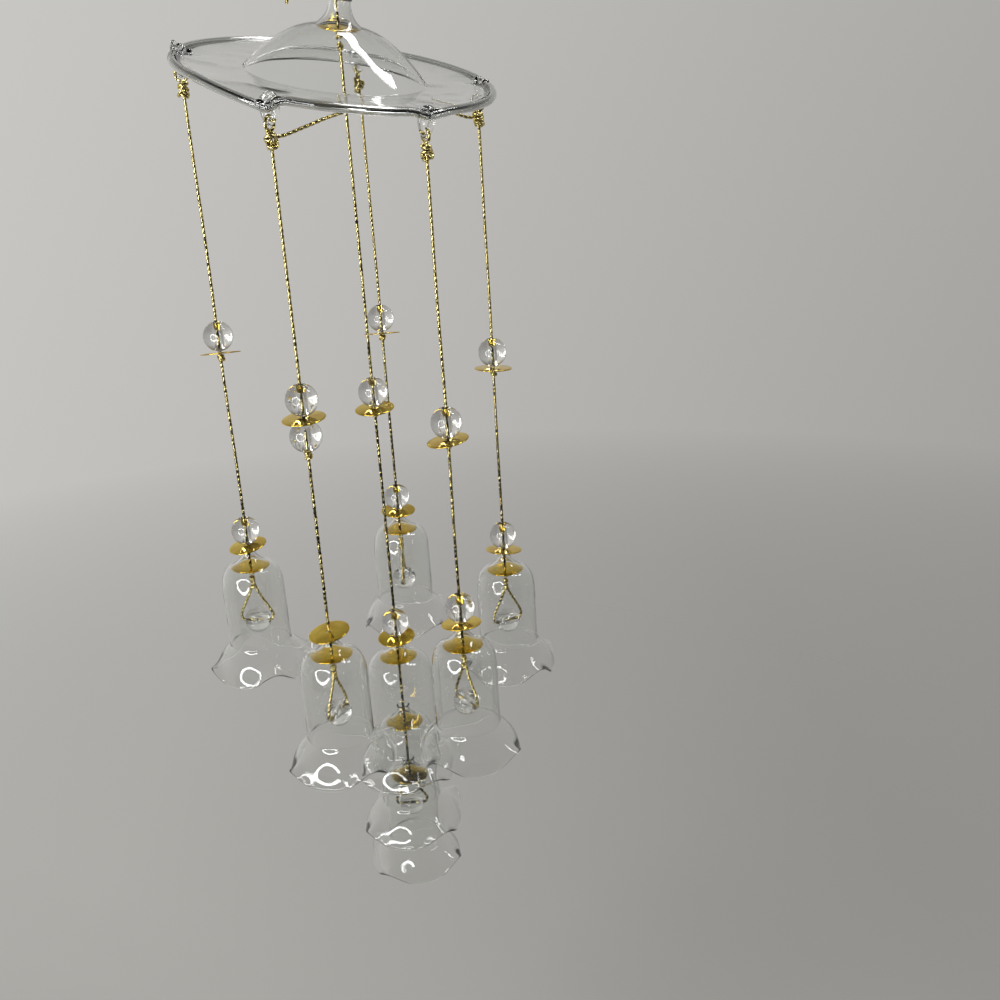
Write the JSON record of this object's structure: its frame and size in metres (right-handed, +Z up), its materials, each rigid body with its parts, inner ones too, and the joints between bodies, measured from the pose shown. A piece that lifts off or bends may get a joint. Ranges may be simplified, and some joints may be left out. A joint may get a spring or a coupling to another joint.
{
  "type": "glass bell wind chime",
  "caption": "Hanging wind chime: a hat-shaped clear glass crown on a gold cord, carrying strands of clear beads, brass discs and ruffled glass bells with bead clappers.",
  "frame": {"origin": "the hook point, inside the top of the hanging loop", "axes": "+Z up along the hanging cord, +Y from the picture's viewer into the picture, +X to the viewer's right"},
  "size_m": [0.1267, 0.1269, 0.3546],
  "materials": {
    "crown_glass": "clear blown glass, fire polished",
    "bell_glass": "thin clear blown glass, fire polished",
    "clear_bead": "clear polished round bead",
    "disc_brass": "thin stamped brass, dulled",
    "gold_cord": "twisted metallic gold cord"
  },
  "bodies": {
    "hanger": {"hanger_cord": "gold_cord"},
    "crown": {"crown": "crown_glass", "crown_disc": "disc_brass"},
    "centre_strand": {"centre_cord": "gold_cord", "large_bell_inner_disc": "disc_brass", "middle_bell_inner_disc": "disc_brass", "small_bell_inner_disc": "disc_brass", "centre_clapper_bead": "clear_bead"},
    "centre_stop": {"centre_upper_bead": "clear_bead", "centre_upper_disc": "disc_brass"},
    "centre_cap": {"centre_bell_bead": "clear_bead", "centre_bell_disc": "disc_brass"},
    "large_bell": {"large_bell": "bell_glass"},
    "middle_bell": {"middle_bell": "bell_glass"},
    "small_bell": {"small_bell": "bell_glass"},
    "left_strand": {"left_cord": "gold_cord", "left_inner_disc": "disc_brass"},
    "left_stop": {"left_upper_bead": "clear_bead", "left_upper_disc": "disc_brass"},
    "left_cap": {"left_bell_bead": "clear_bead", "left_bell_disc": "disc_brass"},
    "left_bell": {"left_bell": "bell_glass"},
    "left_clapper": {"left_clapper_cord": "gold_cord", "left_clapper_bead": "clear_bead"},
    "front_left_strand": {"front_left_cord": "gold_cord", "front_left_inner_disc": "disc_brass", "front_left_lower_bead": "clear_bead"},
    "front_left_stop": {"front_left_upper_bead": "clear_bead", "front_left_upper_disc": "disc_brass"},
    "front_left_cap": {"front_left_bell_disc": "disc_brass"},
    "front_left_bell": {"front_left_bell": "bell_glass"},
    "front_left_clapper": {"front_left_clapper_cord": "gold_cord", "front_left_clapper_bead": "clear_bead"},
    "front_right_strand": {"front_right_cord": "gold_cord", "front_right_inner_disc": "disc_brass"},
    "front_right_stop": {"front_right_upper_bead": "clear_bead", "front_right_upper_disc": "disc_brass"},
    "front_right_cap": {"front_right_bell_bead": "clear_bead", "front_right_bell_disc": "disc_brass"},
    "front_right_bell": {"front_right_bell": "bell_glass"},
    "front_right_clapper": {"front_right_clapper_cord": "gold_cord", "front_right_clapper_bead": "clear_bead"},
    "right_strand": {"right_cord": "gold_cord", "right_inner_disc": "disc_brass"},
    "right_stop": {"right_upper_bead": "clear_bead", "right_upper_disc": "disc_brass"},
    "right_cap": {"right_bell_bead": "clear_bead", "right_bell_disc": "disc_brass"},
    "right_bell": {"right_bell": "bell_glass"},
    "right_clapper": {"right_clapper_cord": "gold_cord", "right_clapper_bead": "clear_bead"},
    "back_strand": {"back_cord": "gold_cord", "back_inner_disc": "disc_brass"},
    "back_stop": {"back_upper_bead": "clear_bead", "back_upper_disc": "disc_brass"},
    "back_cap": {"back_bell_bead": "clear_bead", "back_bell_disc": "disc_brass"},
    "back_bell": {"back_bell": "bell_glass"},
    "back_clapper": {"back_clapper_cord": "gold_cord", "back_clapper_bead": "clear_bead"}
  },
  "joints": [
    {"name": "crown_turn", "type": "hinge", "parent": "hanger", "child": "crown", "pos_m": [0, 0, -0.054], "axis": [0, 0, 1], "continuous": true},
    {"name": "centre_swing", "type": "hinge", "parent": "crown", "child": "centre_strand", "pos_m": [0, 0, -0.05887], "axis": [0.6157, 0.788, 0], "range_deg": [-1, 4]},
    {"name": "centre_stop_slide", "type": "slide", "parent": "centre_strand", "child": "centre_stop", "axis": [0, 0, 1], "range_m": [0, 0.09]},
    {"name": "centre_cap_slide", "type": "slide", "parent": "centre_strand", "child": "centre_cap", "axis": [0, 0, 1], "range_m": [0, 0.06]},
    {"name": "large_bell_spin", "type": "hinge", "parent": "centre_strand", "child": "large_bell", "pos_m": [0, 0, -0.25835], "axis": [0, 0, 1], "continuous": true},
    {"name": "middle_bell_spin", "type": "hinge", "parent": "centre_strand", "child": "middle_bell", "pos_m": [0, 0, -0.28555], "axis": [0, 0, 1], "continuous": true},
    {"name": "small_bell_spin", "type": "hinge", "parent": "centre_strand", "child": "small_bell", "pos_m": [0, 0, -0.30835], "axis": [0, 0, 1], "continuous": true},
    {"name": "left_swing", "type": "hinge", "parent": "crown", "child": "left_strand", "pos_m": [-0.05024, 0.00462, -0.06386], "axis": [0.0916, 0.9958, 0], "range_deg": [-1.2, 28]},
    {"name": "left_stop_slide", "type": "slide", "parent": "left_strand", "child": "left_stop", "axis": [0, 0, 1], "range_m": [0, 0.06]},
    {"name": "left_cap_slide", "type": "slide", "parent": "left_strand", "child": "left_cap", "axis": [0, 0, 1], "range_m": [0, 0.045]},
    {"name": "left_bell_spin", "type": "hinge", "parent": "left_strand", "child": "left_bell", "pos_m": [-0.05024, 0.00462, -0.22131], "axis": [0, 0, 1], "continuous": true},
    {"name": "left_clapper_swing", "type": "hinge", "parent": "left_strand", "child": "left_clapper", "pos_m": [-0.05024, 0.00462, -0.23317], "axis": [-0.9958, 0.0916, 0], "range_deg": [-13, 13]},
    {"name": "front_left_swing", "type": "hinge", "parent": "crown", "child": "front_left_strand", "pos_m": [-0.01681, -0.04133, -0.07953], "axis": [-0.9263, 0.3768, 0], "range_deg": [-1.2, 28]},
    {"name": "front_left_stop_slide", "type": "slide", "parent": "front_left_strand", "child": "front_left_stop", "axis": [0, 0, 1], "range_m": [0, 0.06]},
    {"name": "front_left_cap_slide", "type": "slide", "parent": "front_left_strand", "child": "front_left_cap", "axis": [0, 0, 1], "range_m": [0, 0.045]},
    {"name": "front_left_bell_spin", "type": "hinge", "parent": "front_left_strand", "child": "front_left_bell", "pos_m": [-0.01681, -0.04133, -0.23518], "axis": [0, 0, 1], "continuous": true},
    {"name": "front_left_clapper_swing", "type": "hinge", "parent": "front_left_strand", "child": "front_left_clapper", "pos_m": [-0.01681, -0.04133, -0.24704], "axis": [-0.9781, 0.2079, 0], "range_deg": [-13, 13]},
    {"name": "front_right_swing", "type": "hinge", "parent": "crown", "child": "front_right_strand", "pos_m": [0.02533, -0.03186, -0.0854], "axis": [-0.7827, -0.6224, 0], "range_deg": [-1.2, 28]},
    {"name": "front_right_stop_slide", "type": "slide", "parent": "front_right_strand", "child": "front_right_stop", "axis": [0, 0, 1], "range_m": [0, 0.06]},
    {"name": "front_right_cap_slide", "type": "slide", "parent": "front_right_strand", "child": "front_right_cap", "axis": [0, 0, 1], "range_m": [0, 0.045]},
    {"name": "front_right_bell_spin", "type": "hinge", "parent": "front_right_strand", "child": "front_right_bell", "pos_m": [0.02533, -0.03186, -0.23925], "axis": [0, 0, 1], "continuous": true},
    {"name": "front_right_clapper_swing", "type": "hinge", "parent": "front_right_strand", "child": "front_right_clapper", "pos_m": [0.02533, -0.03186, -0.25111], "axis": [0.6224, -0.7827, 0], "range_deg": [-13, 13]},
    {"name": "right_swing", "type": "hinge", "parent": "crown", "child": "right_strand", "pos_m": [0.04083, 0.02062, -0.07746], "axis": [0.4507, -0.8927, 0], "range_deg": [-1.2, 28]},
    {"name": "right_stop_slide", "type": "slide", "parent": "right_strand", "child": "right_stop", "axis": [0, 0, 1], "range_m": [0, 0.06]},
    {"name": "right_cap_slide", "type": "slide", "parent": "right_strand", "child": "right_cap", "axis": [0, 0, 1], "range_m": [0, 0.045]},
    {"name": "right_bell_spin", "type": "hinge", "parent": "right_strand", "child": "right_bell", "pos_m": [0.04083, 0.02062, -0.23501], "axis": [0, 0, 1], "continuous": true},
    {"name": "right_clapper_swing", "type": "hinge", "parent": "right_strand", "child": "right_clapper", "pos_m": [0.04083, 0.02062, -0.24687], "axis": [0.8927, 0.4507, 0], "range_deg": [-13, 13]},
    {"name": "back_swing", "type": "hinge", "parent": "crown", "child": "back_strand", "pos_m": [-0.00016, 0.05048, -0.0637], "axis": [1, 0.0031, 0], "range_deg": [-1.2, 28]},
    {"name": "back_stop_slide", "type": "slide", "parent": "back_strand", "child": "back_stop", "axis": [0, 0, 1], "range_m": [0, 0.06]},
    {"name": "back_cap_slide", "type": "slide", "parent": "back_strand", "child": "back_cap", "axis": [0, 0, 1], "range_m": [0, 0.045]},
    {"name": "back_bell_spin", "type": "hinge", "parent": "back_strand", "child": "back_bell", "pos_m": [-0.00016, 0.05048, -0.22765], "axis": [0, 0, 1], "continuous": true},
    {"name": "back_clapper_swing", "type": "hinge", "parent": "back_strand", "child": "back_clapper", "pos_m": [-0.00016, 0.05048, -0.23951], "axis": [0.6691, 0.7431, 0], "range_deg": [-13, 13]}
  ]
}
